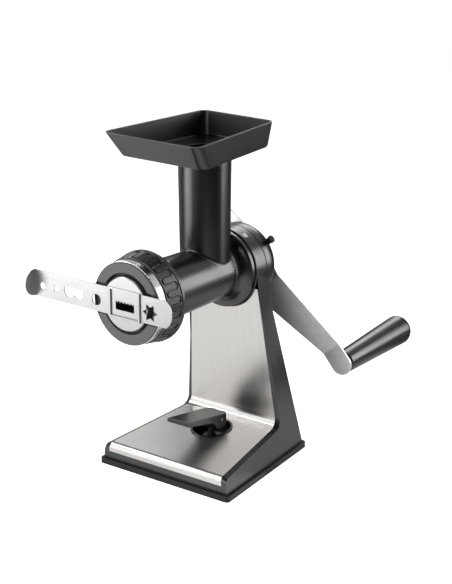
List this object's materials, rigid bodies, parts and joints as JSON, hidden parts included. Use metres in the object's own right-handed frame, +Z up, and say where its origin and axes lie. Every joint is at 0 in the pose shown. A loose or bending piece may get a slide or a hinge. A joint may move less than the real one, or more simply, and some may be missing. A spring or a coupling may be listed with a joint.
{
  "type": "manual meat grinder",
  "caption": "Hand cranked grinder on a suction stand: feed tray, upright tube, barrel with a ring nut and a biscuit shaping strip, bent crank with a tapered grip.",
  "frame": {"origin": "centre of the suction mat's flat underside, straight below the suction spindle and the barrel's axis", "axes": "+X to the right seen from the outlet, -Y towards the outlet, +Y towards the crank, +Z up"},
  "size_m": [0.2102, 0.3588, 0.3395],
  "materials": {
    "black_plastic": "satin black moulded plastic",
    "black_grip": "fine matt black moulded plastic",
    "grey_plastic": "matt dark grey moulded plastic",
    "black_rubber": "matt black rubber",
    "brushed_sheet": "fine vertical brushed grain",
    "brushed_arm": "fine brushed grain along the arm",
    "bright_steel": "polished stainless sheet",
    "plain_steel": "plain turned steel",
    "cast_screw": "satin cast aluminium",
    "pale_bush": "pale plain bearing plastic"
  },
  "bodies": {
    "stand": {"suction_mat": "black_rubber", "base_plate": "plain_steel", "base_screws": "plain_steel", "stand_core": "black_plastic", "stand_frame": "black_plastic", "steel_sheet": "brushed_sheet", "recess_cup": "black_plastic", "grinder_housing": "black_plastic", "rear_bush": "pale_bush", "shaft_seal": "black_rubber"},
    "spindle": {"suction_spindle": "plain_steel"},
    "lever": {"suction_lever": "black_plastic", "lever_pin": "plain_steel"},
    "lock": {"lock_pin": "black_plastic"},
    "crank": {"drive_shaft": "plain_steel", "auger": "cast_screw", "hub_washer": "black_plastic", "crank_arm": "brushed_arm", "crank_nut": "black_plastic", "grip_axle": "plain_steel"},
    "handle": {"grip": "black_grip"},
    "outlet": {"attachment_ring": "grey_plastic", "attachment_disc": "bright_steel"},
    "nut": {"ring_nut": "black_plastic", "steel_band": "bright_steel"},
    "strip": {"shape_strip": "bright_steel"},
    "tray": {"feed_tray": "black_plastic"}
  },
  "joints": [
    {"name": "spindle_slide", "type": "slide", "parent": "stand", "child": "spindle", "axis": [0, 0, 1], "range_m": [-0.004, 0]},
    {"name": "lever_turn", "type": "hinge", "parent": "spindle", "child": "lever", "pos_m": [0, 0, 0.043], "axis": [-1, 0, 0], "range_deg": [0, 90]},
    {"name": "lock_pull", "type": "slide", "parent": "stand", "child": "lock", "axis": [0.7902, 0, 0.6129], "range_m": [0, 0.004], "stiffness_N_per_m": 500},
    {"name": "crank_turn", "type": "hinge", "parent": "stand", "child": "crank", "pos_m": [0, 0, 0.1933], "axis": [0, 1, 0], "continuous": true},
    {"name": "grip_spin", "type": "hinge", "parent": "crank", "child": "handle", "pos_m": [0.08593, 0.10064, 0.08905], "axis": [-0.0333, 0.9986, 0.0404], "continuous": true},
    {"name": "outlet_slide", "type": "slide", "parent": "stand", "child": "outlet", "axis": [0, -1, 0], "range_m": [0, 0.006]},
    {"name": "nut_turn", "type": "hinge", "parent": "outlet", "child": "nut", "pos_m": [0, -0.105, 0.1933], "axis": [0, -1, 0], "range_deg": [0, 720]},
    {"name": "strip_slide", "type": "slide", "parent": "outlet", "child": "strip", "axis": [1, 0, 0], "range_m": [-0.033, 0.088]},
    {"name": "tray_lift", "type": "slide", "parent": "stand", "child": "tray", "axis": [0, 0, 1], "range_m": [0, 0.03]}
  ],
  "couplings": [
    {"joint": "spindle_slide", "follows": "lever_turn", "m_per_rad": -0.0025465},
    {"joint": "outlet_slide", "follows": "nut_turn", "m_per_rad": 0.00047746}
  ]
}
